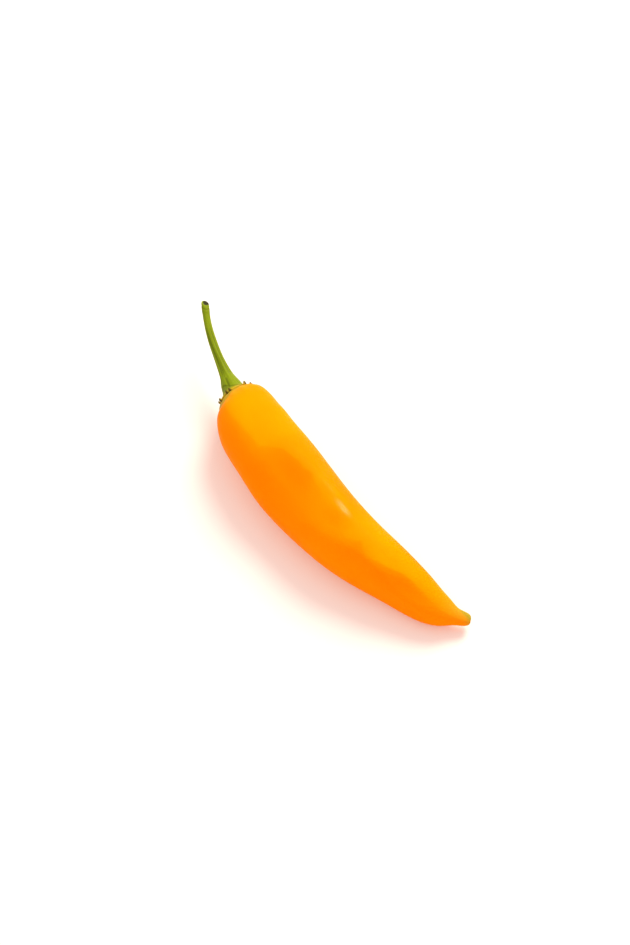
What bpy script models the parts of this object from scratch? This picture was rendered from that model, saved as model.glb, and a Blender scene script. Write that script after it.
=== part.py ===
"""Aji amarillo: one ripe pepper as picked, lying on its side.

It is two pieces that grew together, and each is one solid: the orange pod, and the green stalk,
whose flared calyx caps the pod's shoulder. The sizes below are in millimetres and the meshes in
metres, with +Z up. The pepper lies on the plane z = 0 with its tip towards +X, and the origin is
the middle of its footprint.
"""

import math

import bmesh
import bpy
from mathutils import Vector

MM = 0.001

# The pod's axis: its heading in degrees and its height in mm, by the distance along it in plan
# from the seat of the calyx. The pod's lowest line runs along the plane that it rests on.
POD_HEADINGS = (
    (0, -7),
    (3, -9),
    (7, -21),
    (13, -15),
    (25, -8),
    (46, -1),
    (65, 6),
    (80, 14),
    (96, 14),
    (103, 17),
    (109, 29),
    (119, 49),
)
POD_HEIGHTS = (
    (0, 12.6),
    (3, 12.5),
    (14, 12.4),
    (36, 13.2),
    (59, 12.2),
    (75, 11.3),
    (94, 8.4),
    (103, 6.7),
    (111, 5.5),
    (119, 3.8),
)
# The pod's outline: distance and radius in mm, from the dimple under the calyx to the tip.
POD_OUTLINE = (
    (0.8, 0.0),
    (0.6, 3.0),
    (-0.2, 5.6),
    (0.3, 7.3),
    (2.8, 9.2),
    (6.4, 10.9),
    (12.0, 12.1),
    (21.0, 12.9),
    (36.0, 13.6),
    (56.0, 12.7),
    (75.0, 11.1),
    (89.0, 9.4),
    (102.0, 7.3),
    (110.0, 4.9),
    (114.2, 2.8),
    (117.4, 2.2),
    (118.5, 1.6),
    (118.8, 0.0),
)
POD_SEGMENTS = 48
POD_SPACING = 2.2
# Three seed chambers raise three broad lobes, which fade along the pod, and it is a little oval.
LOBES = 3
LOBE_SHARE = 0.03
LOBE_TURN = 20
LOBE_END = (30, 75)
OVAL_SHARE = 0.012
# Dents in the wall: distance, angle round the axis, depth, half length and half angle. The angle
# is 0 on the pod's left flank and 90 on top. A negative depth is a swelling.
DENTS = (
    (5, 190, 0.8, 7, 45),
    (6, 25, 0.4, 6, 40),
    (20, 120, -0.6, 10, 18),
    (43, 105, 0.9, 9, 18),
    (45, 133, 2.2, 12, 34),
    (50, 68, -0.7, 14, 16),
    (64, 82, -0.4, 6, 14),
    (65, 108, 0.7, 6, 18),
    (72, 118, -0.4, 5, 16),
    (79, 134, 0.6, 4, 16),
    (85, 118, -0.7, 6, 16),
    (96, 122, 0.6, 7, 20),
    (74, 50, 0.4, 8, 18),
    (27, 202, 0.7, 9, 30),
    (57, 178, 0.5, 11, 28),
    (82, 168, 0.5, 9, 24),
    (96, 175, 1.1, 9, 30),
    (68, 330, 0.6, 10, 30),
)
# The lobes, the oval and the dents grow in over this stretch, outside the calyx.
FORM_START = (0.4, 3.5)
# What lies this near to the plane is pressed flat on it, with a soft edge.
SETTLE = 0.15

# The stalk's axis starts where the pod's does and leaves it the other way, turning aside and
# rising as it goes.
STALK_HEADINGS = (
    (0, 0),
    (1.5, -3.6),
    (6, -6),
    (16.5, -10),
    (27, -16),
    (37.5, -27),
)
STALK_HEIGHTS = (
    (0, 12.6),
    (1.5, 12.65),
    (11, 13.6),
    (22, 15.6),
    (37.5, 19.6),
)
# The stalk's outline: under the calyx, round its rim, up the stalk and into the dished cut end.
# The calyx keeps a small gap to the dimple that it sits in.
SEAT_GAP = 0.3
STALK_OUTLINE = (
    (-0.8 + SEAT_GAP, 0.0),
    (-0.6 + SEAT_GAP, 3.0),
    (0.2 + SEAT_GAP, 5.5),
    (0.4, 6.4),
    (0.75, 6.6),
    (1.2, 6.1),
    (1.7, 5.0),
    (3.1, 4.15),
    (6.1, 3.35),
    (8.8, 2.65),
    (14.6, 1.9),
    (24.0, 1.5),
    (34.0, 1.3),
    (36.6, 1.4),
    (37.4, 1.2),
    (37.1, 0.6),
    (37.0, 0.0),
)
STALK_SEGMENTS = 40
STALK_SPACING = 1.0
# Five ribs run from the calyx's five teeth up the stalk, with furrows between them that fade in
# over the first stretch and out over the second.
RIBS = 5
RIB_TURN = 36
RIB_TWIST = -0.8
FURROW_SHARE = 0.24
FURROW_START = (6, 12)
FURROW_END = (17, 31)
TOOTH_LENGTH = 0.9
TOOTH_DROOP = 0.35
# A tooth grows from the part of the calyx that is wider than this share of its rim.
TOOTH_ROOT = 0.8

POD_COLOUR = (0.95, 0.21, 0.004, 1.0)
POD_ROUGHNESS = 0.35
STALK_COLOUR = (0.23, 0.30, 0.025, 1.0)
STALK_ROUGHNESS = 0.55


def clear_scene():
    for obj in list(bpy.data.objects):
        bpy.data.objects.remove(obj)


def fade(low, high, at):
    """0 before low, 1 after high, and smooth between them."""
    t = min(max((at - low) / (high - low), 0.0), 1.0)
    return t * t * (3 - 2 * t)


def slopes(marks, values):
    """The slope at each mark of a smooth curve through the values."""
    steps = [(b - a) / (n - m) for m, n, a, b in zip(marks, marks[1:], values, values[1:])]
    inner = []
    for k, (before, after) in enumerate(zip(steps, steps[1:])):
        span_before = marks[k + 1] - marks[k]
        span_after = marks[k + 2] - marks[k + 1]
        inner.append((before * span_after + after * span_before) / (span_before + span_after))
    return [steps[0], *inner, steps[-1]]


def curve_at(marks, values, at):
    """The value at a mark, on a smooth curve through the values that runs straight on past its ends."""
    slope = slopes(marks, values)
    if at <= marks[0]:
        return values[0] + slope[0] * (at - marks[0])
    if at >= marks[-1]:
        return values[-1] + slope[-1] * (at - marks[-1])
    i = sum(mark <= at for mark in marks) - 1
    span = marks[i + 1] - marks[i]
    t = (at - marks[i]) / span
    return (
        values[i] * (1 + 2 * t) * (1 - t) ** 2
        + slope[i] * (span * t * (1 - t) ** 2)
        + values[i + 1] * (t * t * (3 - 2 * t))
        - slope[i + 1] * (span * t * t * (1 - t))
    )


def value_along(pairs, distance):
    """The value at a distance, on a smooth curve through (distance, value) pairs."""
    return curve_at([place for place, _ in pairs], [value for _, value in pairs], distance)


def rings_along(outline, spacing):
    """(distance, radius) of each ring, on a smooth curve through the outline's points."""
    points = [Vector(point) for point in outline]
    marks = [0.0]
    for start, end in zip(points, points[1:]):
        marks.append(marks[-1] + (end - start).length)
    rings = [points[0]]
    for start, end in zip(marks, marks[1:]):
        count = max(2, math.ceil((end - start) / spacing))
        rings += [curve_at(marks, points, start + (end - start) * k / count) for k in range(1, count + 1)]
    return rings


class Axis:
    """A curved axis, given by its heading in plan and its height at each distance along it."""

    STEP = 0.5

    def __init__(self, length, headings, heights, turned=0.0):
        self.heights = heights
        self.plan = [Vector((0.0, 0.0))]
        for k in range(math.ceil(length / self.STEP) + 1):
            heading = math.radians(turned + value_along(headings, (k + 0.5) * self.STEP))
            self.plan.append(self.plan[-1] + self.STEP * Vector((math.cos(heading), math.sin(heading))))

    def point(self, distance):
        k = min(max(int(distance // self.STEP), 0), len(self.plan) - 2)
        share = distance / self.STEP - k
        x, y = self.plan[k] * (1 - share) + self.plan[k + 1] * share
        return Vector((x, y, value_along(self.heights, distance)))

    def around(self, distance, angle, radius):
        """The point at an angle and a radius round the axis: 0 is on its left and 90 degrees on top."""
        ahead = (self.point(distance + self.STEP) - self.point(distance - self.STEP)).normalized()
        left = Vector((-ahead.y, ahead.x, 0.0)).normalized()
        up = ahead.cross(left)
        return self.point(distance) + radius * (math.cos(angle) * left + math.sin(angle) * up)


def loft(name, rings, segments, place):
    """A closed skin over the rings. place(distance, angle, radius) says where each point goes, in mm."""
    bm = bmesh.new()
    bmesh.ops.create_uvsphere(bm, u_segments=segments, v_segments=len(rings) - 1, radius=1.0)
    for vertex in bm.verts:
        from_pole = math.acos(min(max(vertex.co.z, -1.0), 1.0)) / math.pi
        angle = math.atan2(vertex.co.y, vertex.co.x)
        distance, radius = rings[round(from_pole * (len(rings) - 1))]
        vertex.co = place(distance, angle, radius) * MM
    if bm.calc_volume(signed=True) < 0:
        bmesh.ops.reverse_faces(bm, faces=bm.faces)
    mesh = bpy.data.meshes.new(name)
    bm.to_mesh(mesh)
    bm.free()
    mesh.shade_smooth()
    obj = bpy.data.objects.new(name, mesh)
    bpy.context.scene.collection.objects.link(obj)
    return obj


def grown(distance, angle, radius):
    """The pod's radius with its lobes, its slight oval and its dents."""
    lobe = LOBE_SHARE * (1 - fade(*LOBE_END, distance)) * math.cos(LOBES * (angle - math.radians(LOBE_TURN)))
    change = radius * (lobe + OVAL_SHARE * math.cos(2 * angle))
    for place, turn, depth, half_length, half_angle in DENTS:
        along = (distance - place) / half_length
        across = math.remainder(angle - math.radians(turn), 2 * math.pi) / math.radians(half_angle)
        change -= depth * math.exp(-along * along - across * across)
    return radius + change * fade(*FORM_START, distance)


def settled(height):
    """A height that is pressed flat where it is near the plane or below it, with a soft edge."""
    return height if height > SETTLE else max(height + SETTLE, 0.0) ** 2 / (4 * SETTLE)


def make_pod():
    axis = Axis(POD_OUTLINE[-1][0], POD_HEADINGS, POD_HEIGHTS)

    def place(distance, angle, radius):
        point = axis.around(distance, angle, grown(distance, angle, radius))
        point.z = settled(point.z)
        return point

    return loft("pod", rings_along(POD_OUTLINE, POD_SPACING), POD_SEGMENTS, place)


def make_stalk():
    axis = Axis(STALK_OUTLINE[-1][0], STALK_HEADINGS, STALK_HEIGHTS, turned=180 + POD_HEADINGS[0][1])
    rim = max(radius for _, radius in STALK_OUTLINE)

    def place(distance, angle, radius):
        turn = math.radians(RIB_TURN + RIB_TWIST * max(distance, 0.0))
        rib = math.cos(RIBS * (angle - turn))
        furrowed = fade(*FURROW_START, distance) * (1 - fade(*FURROW_END, distance))
        furrow = FURROW_SHARE * furrowed * ((1 - rib) / 2) ** 2
        tooth = fade(TOOTH_ROOT, 1.0, radius / rim) * max(rib, 0.0) ** 4
        radius = radius * (1 - furrow) + TOOTH_LENGTH * tooth
        return axis.around(distance - TOOTH_DROOP * tooth, angle, radius)

    return loft("stalk", rings_along(STALK_OUTLINE, STALK_SPACING), STALK_SEGMENTS, place)


def centre_on_origin(objects):
    """Moves the pieces together, so that the origin is the middle of their footprint."""
    corners = [obj.matrix_world @ vertex.co for obj in objects for vertex in obj.data.vertices]
    for k in (0, 1):
        places = [corner[k] for corner in corners]
        middle = (min(places) + max(places)) / 2
        for obj in objects:
            obj.location[k] -= middle


def paint(obj, name, colour, roughness):
    material = bpy.data.materials.new(name)
    material.use_nodes = True
    shader = material.node_tree.nodes["Principled BSDF"]
    shader.inputs["Base Color"].default_value = colour
    shader.inputs["Roughness"].default_value = roughness
    obj.data.materials.append(material)


def main():
    clear_scene()
    pod = make_pod()
    stalk = make_stalk()
    paint(pod, "ripe skin", POD_COLOUR, POD_ROUGHNESS)
    paint(stalk, "green stalk", STALK_COLOUR, STALK_ROUGHNESS)
    centre_on_origin((pod, stalk))


main()
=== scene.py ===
"""Aji amarillo: the looks of one ripe pepper as picked, lying on a pale floor.

The pod gets its waxy orange skin, and the stalk its ribbed green one with a dry, brown calyx edge.
Each is a finer copy of its node in the frame, so it keeps that node's form and place. The frame is
in metres, and the lengths in the formulas below are in millimetres. A place on a piece is given
along the piece's own curved axis: the distance from the seat of the calyx, the angle round the
axis, which is 0 on its left and 90 degrees on top, and the distance out from it.
"""

import math

import bmesh
import bpy
import numpy as np
from bpy.props import FloatProperty, FloatVectorProperty, PointerProperty
from bpy.types import Operator, Panel, PropertyGroup
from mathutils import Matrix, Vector, noise


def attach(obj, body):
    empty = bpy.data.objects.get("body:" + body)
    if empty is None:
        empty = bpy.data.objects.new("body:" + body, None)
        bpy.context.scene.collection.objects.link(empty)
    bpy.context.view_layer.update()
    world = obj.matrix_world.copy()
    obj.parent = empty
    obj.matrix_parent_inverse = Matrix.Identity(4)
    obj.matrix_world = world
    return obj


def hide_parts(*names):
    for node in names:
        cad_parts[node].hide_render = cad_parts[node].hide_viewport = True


bl_info = {
    "name": "Aji Amarillo",
    "version": (1, 0, 0),
    "blender": (4, 5, 0),
    "location": "View3D > Sidebar > Pepper",
    "description": "Dresses a pepper's plain solids with skin, a ribbed stalk and a pale stage",
    "category": "Object",
}

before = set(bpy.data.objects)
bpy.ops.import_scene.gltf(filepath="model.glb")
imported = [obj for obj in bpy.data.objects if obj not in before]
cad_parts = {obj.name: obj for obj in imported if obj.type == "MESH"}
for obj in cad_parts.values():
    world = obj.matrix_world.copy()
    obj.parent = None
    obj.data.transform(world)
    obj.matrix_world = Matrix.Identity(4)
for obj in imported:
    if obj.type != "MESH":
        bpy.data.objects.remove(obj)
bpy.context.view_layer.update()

MM = 0.001
BODY = "root"

# Vertices nearer to each other than this are one vertex, in metres.
MERGE = 1e-6
# Two triangles up to this far out of one plane, in degrees, are halves of one four-sided face.
PAIR_BEND = 60
# Each level splits a face in four.
SMOOTH_LEVELS = 2
# The axis of a piece runs straight on past its ends by this much, in mm.
RUN_ON = 20
# Steps of the search for the place on the axis that a point lies beside.
SEARCH_STEPS = 8

# Names of the attributes that carry a piece's own grain, patches, and painted light and shade to its
# material.
GRAIN = "grain"
UNRIPE = "unripe"
PAINTED_LIGHT = "golden_painted_light"
RIPER_AND_SHADE = "riper_and_painted_shade"
SHINY = "shiny"
HOLLOW_AND_SHADE = "hollow_and_painted_shade"
BRIM = "brim"
DRY = "dry"
SCAR = "scar"
# The radius, in mm, of the round bar that a piece's own patterns are measured on.
POD_GIRTH = 10
STALK_GIRTH = 2

# How far past the seat the middle of the pod's dimple and the middle of the calyx lie, in mm.
POD_START = 0.8
STALK_START = -0.5

# The pod's soft swellings: how wide they are, in mm, and how much longer than wide.
SWELL_WIDTH = 7
SWELL_STRETCH = 2
# The folds round the calyx: their number, the middle and half length of their band, in mm, and how
# wide and how large their wandering is, in mm and radians.
FOLDS = 13
FOLD_BAND = (2.4, 2.2)
FOLD_WANDER = (4, 2)
# The pod's relief fades in over these heights above the floor, in mm, so its flat spot stays flat.
OFF_FLOOR = (0.05, 1.0)

# The line down the pod where its crown, lighter with painted light, meets the side past it, darker
# with painted shade: distance, angle, and how strong the painted light and the painted shade are
# there. The crown's middle is at one angle all along.
CROWN = 50
CROWN_LINE = (
    (0, 140, 0.6, 0.0),
    (10, 127, 0.7, 0.0),
    (20, 118, 0.6, 0.1),
    (29, 114, 0.55, 0.2),
    (32, 100, 0.2, 0.5),
    (35, 87, 0.0, 0.8),
    (40, 81, 0.0, 0.9),
    (48, 76, 0.0, 0.8),
    (53, 84, 0.0, 0.4),
    (59, 88, 0.0, 0.1),
    (66, 98, 0.0, 0.1),
    (72, 112, 0.4, 0.2),
    (76, 99, 0.5, 0.4),
    (80, 118, 0.7, 0.1),
    (88, 107, 0.6, 0.4),
    (93, 99, 0.6, 0.5),
    (100, 99, 0.4, 0.2),
    (108, 110, 0.5, 0.0),
    (119, 140, 1.0, 0.0),
)
# The line is this soft, in degrees, and wanders in steps this wide by this much, in mm and degrees.
CROWN_SOFT = 3
CROWN_WANDER = (5, 3)
# The painted shade on the side past the line fades out this far past it, in degrees.
RIPE_REACH = 60
# Faint riper mottling all over: how wide its spots are, in mm, and its strength.
MOTTLE = (14, 0.2)
# Patches of painted light and painted shade besides. The first painted-light patch lightens part of
# the shaded side, and the other two are a painted highlight under the shine. The painted-shade
# patches darken two places on the lit flank and one on top. Each patch on the pod is given by its
# distance, angle, half length, half angle and strength.
PAINTED_LIGHT_PATCHES = (
    (78, 155, 32, 32, 0.5),
    (56, 67, 7, 6, 0.5),
    (64.5, 77.5, 3, 6, 0.9),
)
PAINTED_SHADE_PATCHES = (
    (57, 44, 9, 22, 0.4),
    (92, 34, 9, 14, 0.7),
    (94, 114, 6, 12, 0.25),
)
# Olive patches: the last green at the tip, and a darker olive round the calyx and on one flank near
# the tip; and the most there is of it.
MOST_UNRIPE = 0.8
UNRIPE_PATCHES = (
    (119, 50, 7, 60, 1.0),
    (120.5, 110, 2.5, 200, 0.6),
    (108, 28, 7, 18, 0.4),
    (0.3, 100, 2.4, 75, 0.72),
    (2.5, 150, 4, 28, 0.7),
)
# Patches where the wax is rubbed to a shine.
SHINY_PATCHES = (
    (50.5, 61, 3, 4, 0.06),
    (55.5, 66, 3, 4, 0.08),
    (62.8, 75, 1.8, 6, 0.24),
    (65.6, 79, 1.6, 7.5, 0.26),
)
# The stalk's fine fibres: how many go round, and where they fade in and out, in mm.
FIBRES = 20
FIBRES_START = (1.5, 5)
FIBRES_END = (35, 36.5)
# The stalk's grain wanders in steps this much longer than wide. It moves the ribs by up to this
# much, in degrees, and the fibres, in radians.
GRAIN_STRETCH = 6
RIB_WANDER = 4
FIBRE_WANDER = 3
# The ribs: their number, where the first one starts and how far they turn in each mm, in degrees.
RIBS = 5
RIB_TURN = 24
RIB_TWIST = -0.8
# The furrows between them, grooved and darkened with painted shade, fade in and out over these
# distances. A higher power is a thinner one.
FURROW_START = (7, 11)
FURROW_END = (24, 33)
FURROW_POWER = 3
# A short, fine furrow with painted shade, which runs on below the others: angle, half angle, and its
# start and end.
SHORT_FURROW = (69, 8, (2.6, 3.2), (7.2, 8.2))
# The joint between the calyx and the stalk, in mm along it, and how it drops lower on one side:
# the side's angle, its half width and the drop.
JOINT = 2.2
JOINT_DROP = (30, 45, 2.9)
# Half the width of the dark line of painted shade in the joint's crease, and how dark the calyx is below
# it.
JOINT_WIDTH = 0.4
CALYX_SHADE = 0.4
# The fold under the cut end, darkened with painted shade: its place, half width and strength.
END_FOLD = (36.8, 0.4, 0.8)
# The joint and the fold wander a little as they go round: steps in a turn's radius, and mm.
RAGGED = (3, 0.25)
# The cut end faces this way round the stalk, leans over by this much, in degrees, and stands out by
# this much, in mm. The slant fades in along the stalk.
CUT_TURN = 105
CUT_LEAN = 50
CUT_OUT = 0.3
CUT_SPAN = (32.5, 36.6)
# The dark scar on it: how far off the middle, in mm, and towards which angle, the distances along
# the stalk where it fades in, and the distances from its middle where it fades out.
SCAR_AT = (0.4, 215)
SCAR_DEPTH = (36.7, 36.9)
SCAR_EDGE = (0.95, 1.2)
# How far the calyx's rim is pressed down onto the pod, and how far its dry points stand up, in mm.
PRESSED = 0.35
NUB_LIFT = 0.8
# The rim is the calyx's outer part, between these distances out and along.
RIM_OUT = (4.2, 6.0)
RIM_ALONG = (2, 4)
# Its thin, yellow edge fades in over these distances out.
BRIM_OUT = (4.0, 5.4)
# The angles of the dried points of the calyx teeth on its rim, the half angle of each one, how far
# out they fade in, and how much faster the brown comes in than the form.
TOOTH_POINTS = (2, 17, 54, 66, 119, 148, 157, 205, 248, 292, 334)
TOOTH_WIDTH = 4
TOOTH_OUT = (5.9, 6.5)
TOOTH_BROWN = 1.4


def linear(code):
    """An sRGB hex colour as linear red, green and blue."""
    shares = [int(code[k : k + 2], 16) / 255 for k in (0, 2, 4)]
    return tuple(c / 12.92 if c <= 0.04045 else ((c + 0.055) / 1.055) ** 2.4 for c in shares)


class PodSettings(PropertyGroup):
    flesh: FloatVectorProperty(
        name="Flesh colour",
        description="Most of the ripe skin",
        subtype="COLOR",
        min=0,
        max=1,
        default=linear("fb7f00"),
    )
    # The colour of the painted light on the lit crown and of the painted highlight.
    golden_painted_light: FloatVectorProperty(
        name="Golden colour",
        description="Lighter, more golden blots of the skin",
        subtype="COLOR",
        min=0,
        max=1,
        default=linear("fb8b00"),
    )
    # The colour of the painted shade on the pod, and of its faint, real mottling.
    deep_and_painted_shade: FloatVectorProperty(
        name="Deep colour",
        description="Riper blots of the skin",
        subtype="COLOR",
        min=0,
        max=1,
        default=linear("f97100"),
    )
    unripe: FloatVectorProperty(
        name="Unripe colour",
        description="The last green at the tip and beside the calyx",
        subtype="COLOR",
        min=0,
        max=1,
        default=linear("858828"),
    )
    swell: FloatProperty(
        name="Swell",
        description="Height of the soft swellings of the wall",
        unit="LENGTH",
        default=0.00012,
    )
    pucker: FloatProperty(
        name="Pucker",
        description="Height of the folds round the calyx",
        unit="LENGTH",
        default=0.0002,
    )


class StalkSettings(PropertyGroup):
    green: FloatVectorProperty(
        name="Green",
        description="Most of the stalk",
        subtype="COLOR",
        min=0,
        max=1,
        default=linear("79860c"),
    )
    # The colour of the painted shade in the furrows, the joint's crease and the fold under the cut end, of
    # the darker calyx below the joint, and of the random streaks.
    furrow: FloatVectorProperty(
        name="Furrow green",
        description="The darker green between the ribs",
        subtype="COLOR",
        min=0,
        max=1,
        default=linear("5a6408"),
    )
    brim: FloatVectorProperty(
        name="Brim colour",
        description="The calyx's thin edge, where the green turns yellow",
        subtype="COLOR",
        min=0,
        max=1,
        default=linear("b4941c"),
    )
    dried: FloatVectorProperty(
        name="Dried brown",
        description="The dry points of the calyx teeth",
        subtype="COLOR",
        min=0,
        max=1,
        default=linear("584a1a"),
    )
    scar: FloatVectorProperty(
        name="Scar brown",
        description="The middle of the cut end",
        subtype="COLOR",
        min=0,
        max=1,
        default=linear("2e2c12"),
    )
    fibre: FloatProperty(
        name="Fibre height",
        description="Height of the fine lines along the stalk",
        unit="LENGTH",
        default=0.00004,
    )
    groove: FloatProperty(
        name="Groove depth",
        description="Depth of the sharp middle of each furrow",
        unit="LENGTH",
        default=0.00012,
    )
    nub: FloatProperty(
        name="Tooth height",
        description="How far the dry points stand out of the calyx",
        unit="LENGTH",
        default=0.00045,
    )


class StageSettings(PropertyGroup):
    floor: FloatVectorProperty(
        name="Floor colour",
        description="The pale surface that the pepper lies on",
        subtype="COLOR",
        min=0,
        max=1,
        default=linear("d0d0ce"),
    )
    glow: FloatVectorProperty(
        name="Floor glow",
        description="The warm light that comes through the floor, which fills the shadow",
        subtype="COLOR",
        min=0,
        max=1,
        default=linear("ffbca0"),
    )
    glow_strength: FloatProperty(
        name="Glow strength",
        description="Strength of that light",
        default=0.32,
    )
    floor_size: FloatProperty(
        name="Floor size",
        description="Length of the floor's sides",
        unit="LENGTH",
        default=6.0,
    )
    key_power: FloatProperty(
        name="Key light",
        description="Power of the large soft light",
        unit="POWER",
        default=17.2,
    )
    key_colour: FloatVectorProperty(
        name="Key colour",
        description="A warm white",
        subtype="COLOR",
        min=0,
        max=1,
        default=linear("fff8e6"),
    )
    sky: FloatProperty(
        name="Sky",
        description="Strength of the even white light from all round",
        default=1.0,
    )


def fade(low, high, at):
    """0 before low, 1 after high, and smooth between them."""
    t = np.clip((at - low) / (high - low), 0, 1)
    return t * t * (3 - 2 * t)


def bump(middle, half, at):
    """1 at the middle, falling softly to about a third at half a width from it."""
    return np.exp(-(((at - middle) / half) ** 2))


def turned(angle, degrees):
    """How far an angle is from a place given in degrees, in degrees."""
    return np.degrees(angle - math.radians(degrees) + np.pi) % 360 - 180


def patches(table, along, angle):
    """Soft patches on a piece: distance, angle, half length, half angle and strength of each."""
    return sum(
        strength * bump(place, length, along) * bump(0, width, turned(angle, turn))
        for place, turn, length, width, strength in table
    )


def crown_line(along):
    """The angle of the crown's edge at each distance, and how strong the painted light on the crown and
    the painted shade past it are there.
    """
    marks, *columns = np.array(CROWN_LINE, dtype=float).T
    return [np.interp(along, marks, column) for column in columns]


def noise_at(points, seed=0):
    """Smooth noise from about -1 to 1 at each point, with features one unit across."""
    shift = Vector((0, 0, 31.7 * seed))
    return np.array([noise.noise(Vector(point) + shift) for point in points])


def refined(node, name):
    """A finer, smooth copy of a node's mesh, and the bmesh of its first, coarse faces."""
    coarse = bmesh.new()
    coarse.from_mesh(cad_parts[node].data)
    bmesh.ops.remove_doubles(coarse, verts=coarse.verts, dist=MERGE)
    bmesh.ops.join_triangles(
        coarse,
        faces=coarse.faces,
        angle_face_threshold=math.radians(PAIR_BEND),
        angle_shape_threshold=math.radians(PAIR_BEND),
    )
    mesh = bpy.data.meshes.new(name)
    coarse.to_mesh(mesh)
    mesh.materials.clear()
    obj = bpy.data.objects.new(name, mesh)
    bpy.context.scene.collection.objects.link(obj)
    subdivision = obj.modifiers.new("finer", "SUBSURF")
    subdivision.levels = SMOOTH_LEVELS
    subdivision.render_levels = SMOOTH_LEVELS
    finer = bpy.data.meshes.new_from_object(obj.evaluated_get(bpy.context.evaluated_depsgraph_get()))
    obj.modifiers.remove(subdivision)
    obj.data = finer
    finer.name = name
    finer.shade_smooth()
    return obj, coarse


class Axis:
    """The curved axis of a piece, through the middles of its rings of vertices, in mm."""

    def __init__(self, coarse, ahead, start):
        """ahead is 1 for a piece that runs towards +X from its seat, and -1 for one towards -X."""
        middles = [np.mean([v.co for v in ring], axis=0) / MM for ring in self.rings(coarse, ahead)]
        kept = [middles[0]]
        for middle in middles[1:]:
            if (middle[0] - kept[-1][0]) * ahead > 0:
                kept.append(middle)
        steps = np.diff(kept, axis=0)
        first, last = (step / np.linalg.norm(step) * RUN_ON for step in (steps[0], steps[-1]))
        self.points = np.array([kept[0] - first, *kept, kept[-1] + last])
        lengths = np.linalg.norm(np.diff(self.points, axis=0), axis=1)
        self.marks = np.concatenate(([0], np.cumsum(lengths))) - RUN_ON + start
        self.ways = np.gradient(self.points, self.marks, axis=0)

    @staticmethod
    def rings(coarse, ahead):
        """The rings of vertices of a round piece, from the middle of its seat to its far end."""
        poles = sorted(coarse.verts, key=lambda vert: len(vert.link_edges))[-2:]
        ring = [min(poles, key=lambda vert: vert.co.x * ahead)]
        seen = set(ring)
        while ring:
            yield ring
            around = {edge.other_vert(vert) for vert in ring for edge in vert.link_edges} - seen
            ring = sorted(around, key=lambda vert: vert.index)
            seen.update(ring)

    def read(self, table, along):
        return np.stack([np.interp(along, self.marks, column) for column in table.T], axis=1)

    def ahead(self, along):
        """The axis's direction at each distance."""
        ways = self.read(self.ways, along)
        return ways / np.linalg.norm(ways, axis=1)[:, None]

    def unbent(self, points):
        """The distance along the axis, the angle round it and the distance out of each point."""
        order = np.argsort(self.points[:, 0])
        along = np.interp(points[:, 0], self.points[order, 0], self.marks[order])
        for _ in range(SEARCH_STEPS):
            ways = self.ahead(along)
            out = points - self.read(self.points, along)
            along = along + np.sum(out * ways, axis=1)
        left = np.stack((-ways[:, 1], ways[:, 0], np.zeros(len(ways))), axis=1)
        left /= np.linalg.norm(left, axis=1)[:, None]
        up = np.cross(ways, left)
        aside, above = np.sum(out * left, axis=1), np.sum(out * up, axis=1)
        return along, np.arctan2(above, aside), np.hypot(aside, above)


def coordinates(mesh):
    """The vertices of a mesh in mm."""
    flat = np.zeros(len(mesh.vertices) * 3, np.float32)
    mesh.vertices.foreach_get("co", flat)
    return flat.reshape(-1, 3).astype(float) / MM


def normals(mesh):
    flat = np.zeros(len(mesh.vertices) * 3, np.float32)
    mesh.vertex_normals.foreach_get("vector", flat)
    return flat.reshape(-1, 3).astype(float)


def move(mesh, places):
    """Puts the vertices of a mesh at these places, in mm."""
    mesh.vertices.foreach_set("co", (places * MM).astype(np.float32).ravel())
    mesh.update()


def keep(mesh, name, kind, values):
    """Keeps a value for each vertex in an attribute, for the material to read."""
    attribute = mesh.attributes.new(name, kind, "POINT")
    field = "vector" if kind == "FLOAT_VECTOR" else "value"
    attribute.data.foreach_set(field, np.asarray(values, np.float32).ravel())


def along_grain(along, angle, girth, stretch):
    """Places on a round bar of this girth, shrunk along it, where a pattern follows the piece."""
    return np.stack((along / stretch, girth * np.cos(angle), girth * np.sin(angle)), axis=1)


def finish_piece(obj, node, material):
    obj.data.materials.append(material)
    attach(obj, BODY)
    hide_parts(node)


def add(tree, kind, inputs=(), **settings):
    """Adds a shader node. The inputs are given as numbers, or as the sockets that they are linked to."""
    made = tree.nodes.new(kind)
    for name, value in settings.items():
        setattr(made, name, value)
    for name, value in dict(inputs).items():
        if isinstance(value, bpy.types.NodeSocket):
            tree.links.new(value, made.inputs[name])
        else:
            made.inputs[name].default_value = value
    return made


def mixed(tree, share, first, second):
    """A colour between two others: the first where the share is 0, the second where it is 1."""
    return add(tree, "ShaderNodeMix", {0: share, 6: first, 7: second}, data_type="RGBA").outputs[2]


def rgba(colour):
    return (*colour, 1.0)


# Steps of the noise in a metre: patches of wax are about 4 mm across, and cells half a millimetre.
WAX_SCALE = 260
CELL_SCALE = 1800
CELL_DEPTH = 0.1 * MM
# Steps of the noise in a mm along the stalk and across it: streaks about 8 mm long and 0.6 mm wide.
STREAK_SCALE = (0.12, 1.6, 1.6)
STREAK_DEPTH = 0.1 * MM


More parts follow.
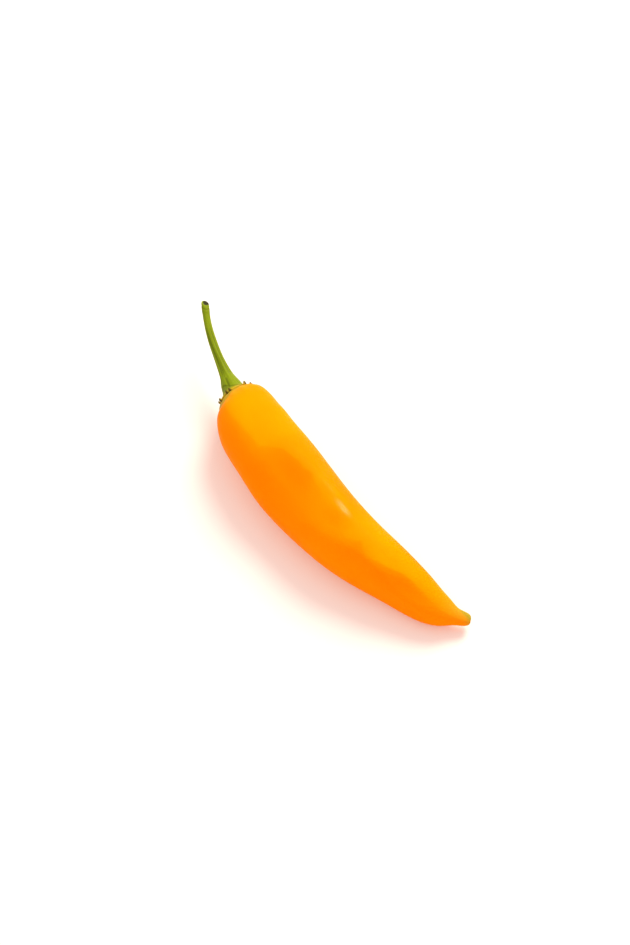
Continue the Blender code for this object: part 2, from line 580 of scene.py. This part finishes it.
def ripe_skin(settings):
    """Ripe pepper skin: orange flesh under a thin waxy cuticle, even and satin. Its colour also carries
    painted light, a painted highlight and painted shade.
    """
    material = bpy.data.materials.new("ripe_waxy_skin")
    material.use_nodes = True
    tree = material.node_tree
    shader = tree.nodes["Principled BSDF"]
    place = add(tree, "ShaderNodeTexCoord").outputs["Object"]
    colour = rgba(settings.flesh)
    # The first share is painted light, on the lit crown and as a painted highlight. The second is painted
    # shade, with faint real mottling. The third is olive, at the tip, round the calyx and on one flank.
    for name, tint in (
        (PAINTED_LIGHT, settings.golden_painted_light),
        (RIPER_AND_SHADE, settings.deep_and_painted_shade),
        (UNRIPE, settings.unripe),
    ):
        share = add(tree, "ShaderNodeAttribute", attribute_name=name).outputs["Fac"]
        colour = mixed(tree, share, colour, rgba(tint))
    tree.links.new(colour, shader.inputs["Base Color"])

    # The wax is thicker in some places, which breaks up the sheen, and rubbed to a shine in others.
    wax = add(tree, "ShaderNodeTexNoise", {"Vector": place, "Scale": WAX_SCALE, "Detail": 3}).outputs[0]
    dull = add(tree, "ShaderNodeMapRange", {"Value": wax, "To Min": 0.2, "To Max": 0.4}).outputs[0]
    tree.links.new(dull, shader.inputs["Roughness"])
    shiny = add(tree, "ShaderNodeAttribute", attribute_name=SHINY).outputs["Fac"]
    tree.links.new(shiny, shader.inputs["Coat Weight"])
    # The grain of the skin's cells. Real ones are far finer, so they are as coarse as they need to show.
    cells = add(tree, "ShaderNodeTexNoise", {"Vector": place, "Scale": CELL_SCALE, "Detail": 2}).outputs[0]
    relief = add(
        tree,
        "ShaderNodeBump",
        {"Height": cells, "Strength": 0.1, "Distance": CELL_DEPTH},
    ).outputs[0]
    tree.links.new(relief, shader.inputs["Normal"])

    shader.inputs["IOR"].default_value = 1.45
    shader.inputs["Specular IOR Level"].default_value = 0.005
    shader.inputs["Specular Tint"].default_value = (1.0, 0.8, 0.3, 1.0)
    shader.inputs["Coat Roughness"].default_value = 0.18
    shader.inputs["Coat IOR"].default_value = 1.4
    shader.inputs["Subsurface Weight"].default_value = 0.15
    shader.inputs["Subsurface Radius"].default_value = (1.0, 0.35, 0.05)
    shader.inputs["Subsurface Scale"].default_value = 1.0 * MM
    return material


def green_stalk(settings):
    """Green pepper stalk: matt and fibrous, with streaks along it, brown where it has dried, and painted
    shade in its furrows and creases.
    """
    material = bpy.data.materials.new("fibrous_green_stalk")
    material.use_nodes = True
    tree = material.node_tree
    shader = tree.nodes["Principled BSDF"]
    grain = add(tree, "ShaderNodeAttribute", attribute_name=GRAIN).outputs["Vector"]
    hollow_and_painted_shade = add(tree, "ShaderNodeAttribute", attribute_name=HOLLOW_AND_SHADE).outputs["Fac"]
    brim = add(tree, "ShaderNodeAttribute", attribute_name=BRIM).outputs["Fac"]
    dry = add(tree, "ShaderNodeAttribute", attribute_name=DRY).outputs["Fac"]
    scar = add(tree, "ShaderNodeAttribute", attribute_name=SCAR).outputs["Fac"]

    stretched = add(
        tree,
        "ShaderNodeVectorMath",
        {0: grain, 1: STREAK_SCALE},
        operation="MULTIPLY",
    ).outputs[0]
    lines = add(tree, "ShaderNodeTexNoise", {"Vector": stretched, "Scale": 1.0, "Detail": 3}).outputs[0]
    streaks = add(
        tree,
        "ShaderNodeMapRange",
        {"Value": lines, "From Min": 0.3, "From Max": 0.6, "To Min": 0.45, "To Max": 0},
    ).outputs[0]
    # The random streaks and the painted shade of the furrows and creases both take the furrow colour.
    shade = add(tree, "ShaderNodeMath", {0: streaks, 1: hollow_and_painted_shade}, operation="MAXIMUM").outputs[0]
    colour = rgba(settings.green)
    for share, tint in (
        (shade, settings.furrow),
        (brim, settings.brim),
        (dry, settings.dried),
        (scar, settings.scar),
    ):
        colour = mixed(tree, share, colour, rgba(tint))
    tree.links.new(colour, shader.inputs["Base Color"])
    relief = add(
        tree,
        "ShaderNodeBump",
        {"Height": lines, "Strength": 0.4, "Distance": STREAK_DEPTH},
    ).outputs[0]
    tree.links.new(relief, shader.inputs["Normal"])
    shader.inputs["Roughness"].default_value = 0.5
    shader.inputs["Specular IOR Level"].default_value = 0.06
    shader.inputs["Subsurface Weight"].default_value = 0.1
    shader.inputs["Subsurface Radius"].default_value = (0.6, 1.0, 0.1)
    shader.inputs["Subsurface Scale"].default_value = 0.6 * MM
    return material


def pale_floor(settings):
    """Opal acrylic, cast smooth and lit from below: a bright, even white that takes a pale shadow."""
    material = bpy.data.materials.new("lit_opal_acrylic")
    material.use_nodes = True
    shader = material.node_tree.nodes["Principled BSDF"]
    shader.inputs["Base Color"].default_value = rgba(settings.floor)
    shader.inputs["Roughness"].default_value = 0.6
    shader.inputs["Specular IOR Level"].default_value = 0.1
    shader.inputs["Emission Color"].default_value = rgba(settings.glow)
    shader.inputs["Emission Strength"].default_value = settings.glow_strength
    return material


class PEPPER_OT_pod(Operator):
    """Makes the pod: one smooth, waxy fruit wall with soft folds round the calyx"""

    bl_idname = "pepper.pod"
    bl_label = "Make the pod"

    def execute(self, context):
        settings = context.scene.pepper_pod
        obj, coarse = refined("pod", "pod_skin")
        axis = Axis(coarse, 1, POD_START)
        coarse.free()
        places = coordinates(obj.data)
        along, angle, out = axis.unbent(places)
        waves = noise_at(along_grain(along, angle, POD_GIRTH, SWELL_STRETCH) / SWELL_WIDTH)
        width, most = FOLD_WANDER
        folds = 0.5 + 0.5 * np.cos(FOLDS * angle + most * noise_at(places / width))
        pucker = settings.pucker * folds * bump(*FOLD_BAND, along)
        height = (settings.swell * waves + pucker) / MM * fade(*OFF_FLOOR, places[:, 2])
        move(obj.data, places + normals(obj.data) * height[:, None])

        # The crown that faces the light gets painted light, and the side past the line gets painted shade.
        # ripe is the share of that painted shade.
        line, crown_light, ripe = crown_line(along)
        # How far round the pod a place lies past the line, in degrees.
        width, most = CROWN_WANDER
        past = np.abs(turned(angle, CROWN)) - (line - CROWN) + most * noise_at(places / width, 2)
        side = fade(-CROWN_SOFT, CROWN_SOFT, past)
        width, most = MOTTLE
        mottle = most * fade(-0.1, 0.5, noise_at(places / width, 1))
        golden_painted_light = crown_light * (1 - side) + patches(PAINTED_LIGHT_PATCHES, along, angle)
        riper_and_painted_shade = ripe * side * bump(0, RIPE_REACH, past) + patches(PAINTED_SHADE_PATCHES, along, angle)
        unripe = patches(UNRIPE_PATCHES, along, angle)
        keep(obj.data, PAINTED_LIGHT, "FLOAT", np.clip(golden_painted_light, 0, 1))
        keep(obj.data, RIPER_AND_SHADE, "FLOAT", np.clip(np.maximum(riper_and_painted_shade, mottle), 0, 1))
        keep(obj.data, UNRIPE, "FLOAT", np.clip(unripe, 0, MOST_UNRIPE))
        keep(obj.data, SHINY, "FLOAT", np.clip(patches(SHINY_PATCHES, along, angle), 0, 1))
        finish_piece(obj, "pod", ripe_skin(settings))
        return {"FINISHED"}


class PEPPER_OT_stalk(Operator):
    """Makes the stalk: ribbed and green, with a toothed calyx, dry teeth and a dark cut end"""

    bl_idname = "pepper.stalk"
    bl_label = "Make the stalk"

    def execute(self, context):
        settings = context.scene.pepper_stalk
        obj, coarse = refined("stalk", "stalk_skin")
        axis = Axis(coarse, -1, STALK_START)
        coarse.free()
        places = coordinates(obj.data)
        along, angle, out = axis.unbent(places)
        wander = noise_at(along_grain(along, angle, STALK_GIRTH, GRAIN_STRETCH))
        fibres = np.cos(FIBRES * angle + FIBRE_WANDER * wander)
        fibres = fibres * fade(*FIBRES_START, along) * (1 - fade(*FIBRES_END, along))
        turn = np.radians(RIB_TURN + RIB_TWIST * along + RIB_WANDER * wander)
        furrow = ((1 - np.cos(RIBS * (angle - turn))) / 2) ** FURROW_POWER
        furrow = furrow * fade(*FURROW_START, along) * (1 - fade(*FURROW_END, along))
        turn, width, start, end = SHORT_FURROW
        short = bump(0, width, turned(angle, turn)) * fade(*start, along) * (1 - fade(*end, along))
        furrow = np.maximum(furrow, short)

        steps, most = RAGGED
        circle = np.stack((np.cos(angle), np.sin(angle), np.zeros(len(angle))), axis=1)
        ragged = along + most * noise_at(circle * steps)
        side, width, drop = JOINT_DROP
        joint = JOINT + drop * bump(0, width, turned(angle, side))
        place, width, strength = END_FOLD
        rings = np.maximum(bump(joint, JOINT_WIDTH, ragged), strength * bump(place, width, ragged))
        calyx = 1 - fade(-JOINT_WIDTH, JOINT_WIDTH, ragged - joint)
        # The furrows, the joint and the fold under the cut end are grooved a little and darkened with
        # painted shade. The calyx below the joint is darker too.
        hollow_and_painted_shade = np.maximum(furrow, np.maximum(rings, CALYX_SHADE * calyx))

        nubs = sum(bump(0, TOOTH_WIDTH, turned(angle, place)) for place in TOOTH_POINTS)
        nubs = nubs * fade(*TOOTH_OUT, out)
        # The calyx's rim lies close on the pod's shoulder, and its dry points curl up off it.
        rim = (NUB_LIFT * nubs - PRESSED * fade(*RIM_OUT, out)) * (1 - fade(*RIM_ALONG, along))
        lean = math.tan(math.radians(CUT_LEAN)) * out * np.cos(angle - math.radians(CUT_TURN))
        slid = axis.ahead(along) * (fade(*CUT_SPAN, along) * (CUT_OUT - lean) + rim)[:, None]
        height = (settings.fibre * fibres - settings.groove * hollow_and_painted_shade + settings.nub * nubs) / MM
        move(obj.data, places + normals(obj.data) * height[:, None] + slid)

        shift, way = SCAR_AT[0], math.radians(SCAR_AT[1])
        aside = out * np.cos(angle) - shift * math.cos(way)
        above = out * np.sin(angle) - shift * math.sin(way)
        scar = fade(*SCAR_DEPTH, along) * (1 - fade(*SCAR_EDGE, np.hypot(aside, above)))
        keep(obj.data, GRAIN, "FLOAT_VECTOR", along_grain(along, angle, STALK_GIRTH, 1))
        keep(obj.data, HOLLOW_AND_SHADE, "FLOAT", hollow_and_painted_shade)
        keep(obj.data, BRIM, "FLOAT", fade(*BRIM_OUT, out))
        keep(obj.data, DRY, "FLOAT", np.clip(TOOTH_BROWN * nubs, 0, 1))
        keep(obj.data, SCAR, "FLOAT", scar)
        finish_piece(obj, "stalk", green_stalk(settings))
        return {"FINISHED"}


# The camera looks down on the pepper from this azimuth and elevation, in degrees. Azimuth 0 looks
# along +Y and 90 along -X. The point that it looks at and its distance from it are in mm.
CAMERA_AT = (52, 57)
CAMERA_TARGET = (-0.2, 6.5, 10.0)
CAMERA_DISTANCE = 895.9
CAMERA_LENS = 100
# The longer side of the picture on the film, in mm.
FILM_HEIGHT = 36
# The azimuth and elevation of the large soft light, its distance and its width. It shines at the
# pepper's middle.
KEY_AT = (200, 48)
KEY_DISTANCE = 1200
KEY_SIZE = 700
KEY_TARGET = (0, 0, 10)
# The floor lies a hair below the pepper's flat spot, so that the two faces don't share a plane.
FLOOR_DROP = 0.02


def towards(azimuth, elevation):
    """The direction from the pepper to a place in the studio."""
    a, e = math.radians(azimuth), math.radians(elevation)
    return Vector((math.sin(a) * math.cos(e), -math.cos(a) * math.cos(e), math.sin(e)))


def aimed(obj, target, direction, distance):
    """Puts a camera or a light at a distance from a target, facing it. Lengths are in mm."""
    obj.location = (Vector(target) + direction * distance) * MM
    obj.rotation_euler = (-direction).to_track_quat("-Z", "Y").to_euler()
    bpy.context.scene.collection.objects.link(obj)


class PEPPER_OT_stage(Operator):
    """Makes the stage: a pale floor, a large soft light, an even white sky and the camera"""

    bl_idname = "pepper.stage"
    bl_label = "Make the stage"

    def execute(self, context):
        settings = context.scene.pepper_stage
        bm = bmesh.new()
        bmesh.ops.create_grid(bm, x_segments=1, y_segments=1, size=settings.floor_size / 2)
        bmesh.ops.translate(bm, verts=bm.verts, vec=(0, 0, -FLOOR_DROP * MM))
        mesh = bpy.data.meshes.new("floor")
        bm.to_mesh(mesh)
        bm.free()
        mesh.materials.append(pale_floor(settings))
        floor = bpy.data.objects.new("floor", mesh)
        context.scene.collection.objects.link(floor)

        light = bpy.data.lights.new("key", "AREA")
        light.shape = "DISK"
        light.size = KEY_SIZE * MM
        light.energy = settings.key_power
        light.color = settings.key_colour
        aimed(bpy.data.objects.new("key", light), KEY_TARGET, towards(*KEY_AT), KEY_DISTANCE)

        world = bpy.data.worlds.new("white_sky")
        world.use_nodes = True
        background = world.node_tree.nodes["Background"]
        background.inputs["Color"].default_value = (1, 1, 1, 1)
        background.inputs["Strength"].default_value = settings.sky
        context.scene.world = world

        camera = bpy.data.cameras.new("camera")
        camera.lens = CAMERA_LENS
        camera.sensor_fit = "VERTICAL"
        camera.sensor_height = FILM_HEIGHT
        camera.clip_end = 20
        obj = bpy.data.objects.new("camera", camera)
        aimed(obj, CAMERA_TARGET, towards(*CAMERA_AT), CAMERA_DISTANCE)
        context.scene.camera = obj
        context.scene.view_settings.view_transform = "Standard"
        return {"FINISHED"}


class PEPPER_PT_pieces(Panel):
    """Lists the pieces of the pepper and its stage"""

    bl_idname = "PEPPER_PT_pieces"
    bl_label = "Pepper"
    bl_space_type = "VIEW_3D"
    bl_region_type = "UI"
    bl_category = "Pepper"

    def draw(self, context):
        for group, operator in (
            (context.scene.pepper_pod, "pepper.pod"),
            (context.scene.pepper_stalk, "pepper.stalk"),
            (context.scene.pepper_stage, "pepper.stage"),
        ):
            box = self.layout.box()
            for name in group.__annotations__:
                box.prop(group, name)
            box.operator(operator)


GROUPS = {
    "pepper_pod": PodSettings,
    "pepper_stalk": StalkSettings,
    "pepper_stage": StageSettings,
}
CLASSES = (*GROUPS.values(), PEPPER_OT_pod, PEPPER_OT_stalk, PEPPER_OT_stage, PEPPER_PT_pieces)


def register():
    for cls in CLASSES:
        bpy.utils.register_class(cls)
    for name, group in GROUPS.items():
        setattr(bpy.types.Scene, name, PointerProperty(type=group))


def unregister():
    for name in GROUPS:
        delattr(bpy.types.Scene, name)
    for cls in reversed(CLASSES):
        bpy.utils.unregister_class(cls)


def main():
    register()
    bpy.ops.pepper.pod()
    bpy.ops.pepper.stalk()
    bpy.ops.pepper.stage()


if __name__ == "__main__":
    main()
